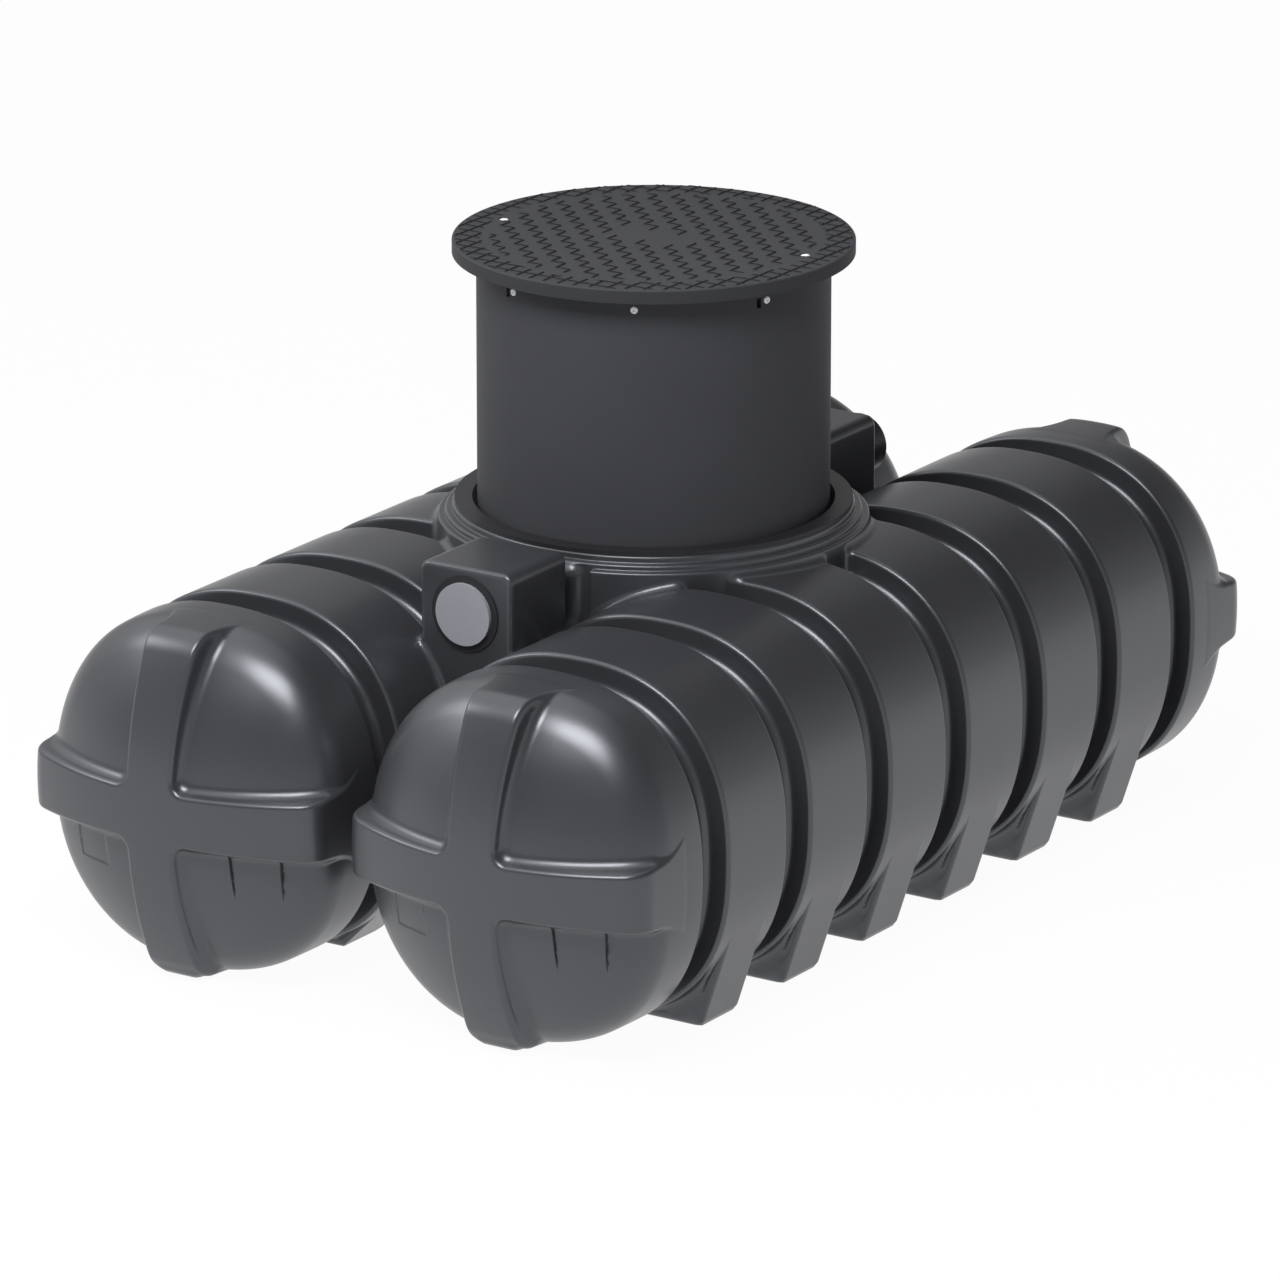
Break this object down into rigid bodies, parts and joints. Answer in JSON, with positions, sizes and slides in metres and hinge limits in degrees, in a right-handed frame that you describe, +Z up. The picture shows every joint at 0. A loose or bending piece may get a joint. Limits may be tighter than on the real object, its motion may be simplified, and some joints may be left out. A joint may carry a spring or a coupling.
{
  "type": "underground rainwater tank",
  "caption": "Flat underground rainwater tank: ribbed plastic barrels side by side, pipe boxes, a telescopic access shaft in the neck between them and a walk-over cover.",
  "frame": {"origin": "floor level under the shaft's axis, at the middle of the tank", "axes": "+X across the two barrels, +Y along the barrels towards the outlet, +Z up along the shaft"},
  "size_m": [1.255, 2.122, 1.1383],
  "materials": {
    "tank_plastic": "satin moulded",
    "shaft_plastic": "satin extruded",
    "cover_plastic": "matte moulded with tread",
    "seal_rubber": "matte",
    "plug_plastic": "satin",
    "pipe_plastic": "satin"
  },
  "bodies": {
    "tank": {"right_barrel": "tank_plastic", "left_barrel": "tank_plastic", "right_front_dome": "tank_plastic", "right_rear_dome": "tank_plastic", "left_front_dome": "tank_plastic", "left_rear_dome": "tank_plastic", "right_outer_feet": "tank_plastic", "right_inner_feet": "tank_plastic", "left_outer_feet": "tank_plastic", "left_inner_feet": "tank_plastic", "neck_collar": "tank_plastic", "collar_seal": "seal_rubber", "valley_web": "tank_plastic", "inlet_box": "tank_plastic", "outlet_box": "tank_plastic", "inlet_seal": "seal_rubber", "outlet_seal": "seal_rubber", "inlet_plug": "plug_plastic", "outlet_stub": "pipe_plastic"},
    "shaft": {"shaft_tube": "shaft_plastic", "cover_frame": "shaft_plastic"},
    "cover": {"cover": "cover_plastic"}
  },
  "joints": [
    {"name": "shaft_slide", "type": "slide", "parent": "tank", "child": "shaft", "axis": [0, 0, 1], "range_m": [-0.2, 0.06]},
    {"name": "cover_lift", "type": "slide", "parent": "shaft", "child": "cover", "axis": [0, 0, 1], "range_m": [0, 0.15]}
  ]
}
